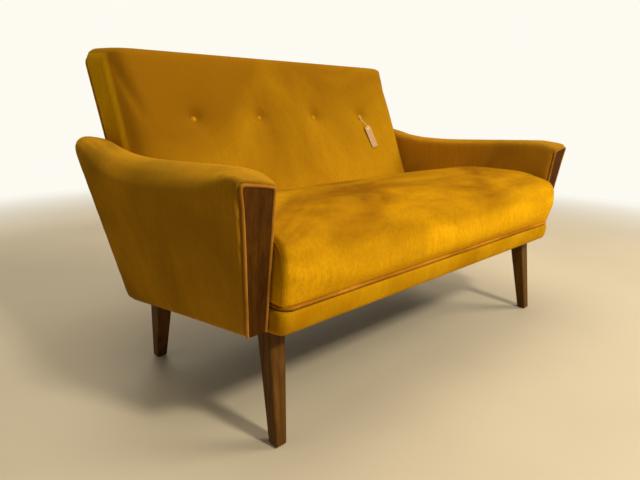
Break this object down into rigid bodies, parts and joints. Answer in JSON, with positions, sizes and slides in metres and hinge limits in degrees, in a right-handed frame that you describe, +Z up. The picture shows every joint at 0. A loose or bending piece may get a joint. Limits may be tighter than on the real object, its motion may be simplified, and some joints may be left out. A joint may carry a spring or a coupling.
{
  "type": "two-seater sofa",
  "caption": "Compact sofa with a sprung seat, a buttoned leaning back, padded arms with wooden facings, tapered wooden legs and a hanging paper tag.",
  "frame": {"origin": "on the floor, under the middle of the sofa's bounding box", "axes": "+Z up, the sofa faces -Y, +X towards its right-hand arm as seen from the front; X = 0 is the plane of symmetry of the sofa itself"},
  "size_m": [1.2206, 0.8541, 0.7694],
  "materials": {
    "velvet": "gold-mustard cotton velvet, brushed nap",
    "leg_wood": "stained and lacquered hardwood, satin",
    "facing_wood": "dark reddish-brown stained hardwood, satin",
    "frame_wood": "plain sawn hardwood",
    "steel": "zinc-plated steel",
    "clip_plastic": "plain moulded nylon",
    "foam": "polyurethane foam and cotton wadding",
    "hessian": "woven jute",
    "twine": "waxed upholstery twine",
    "dust_cloth": "thin black lining cloth",
    "tag_card": "stiff uncoated card",
    "tag_cord": "thin cotton string",
    "eyelet_brass": "polished brass"
  },
  "bodies": {
    "sofa": {"arm_bolts": "steel", "arm_cover_left": "velvet", "arm_cover_right": "velvet", "arm_facing_left": "facing_wood", "arm_facing_right": "facing_wood", "arm_front_post_left": "frame_wood", "arm_front_post_right": "frame_wood", "arm_lower_rail_left": "frame_wood", "arm_lower_rail_right": "frame_wood", "arm_pad_left": "foam", "arm_pad_right": "foam", "arm_rear_post_left": "frame_wood", "arm_rear_post_right": "frame_wood", "arm_top_rail_left": "frame_wood", "arm_top_rail_right": "frame_wood", "back_buttons": "velvet", "back_centre_post": "frame_wood", "back_foam": "foam", "back_hessian": "hessian", "back_low_rail": "frame_wood", "back_post_left": "frame_wood", "back_post_right": "frame_wood", "back_side_padding_left": "foam", "back_side_padding_right": "foam", "back_top_padding": "foam", "back_top_rail": "frame_wood", "back_webbing": "hessian", "button_toggles": "clip_plastic", "button_twines": "twine", "corner_blocks": "frame_wood", "dust_cover": "dust_cloth", "facing_pegs": "frame_wood", "facing_welt_left": "velvet", "facing_welt_right": "velvet", "front_border": "velvet", "front_leg_left": "leg_wood", "front_leg_right": "leg_wood", "inside_back_cover": "velvet", "leg_plates": "steel", "leg_studs": "steel", "outside_back_cover": "velvet", "plate_screws": "steel", "rear_leg_left": "leg_wood", "rear_leg_right": "leg_wood", "seat_cover": "velvet", "seat_foam": "foam", "seat_frame_dowels": "frame_wood", "seat_front_rail": "frame_wood", "seat_hessian": "hessian", "seat_rear_rail": "frame_wood", "seat_side_rail_left": "frame_wood", "seat_side_rail_right": "frame_wood", "seat_springs": "steel", "seat_welt": "velvet", "spring_clips": "clip_plastic"},
    "tag": {"swing_tag": "tag_card", "tag_string": "tag_cord", "tag_eyelet": "eyelet_brass", "tag_loop": "tag_cord"}
  },
  "joints": [
    {"name": "tag_swing", "type": "hinge", "parent": "sofa", "child": "tag", "pos_m": [0.327, 0.1936, 0.5995], "axis": [0, -0.9285, 0.3714], "range_deg": [-72, 48]}
  ]
}
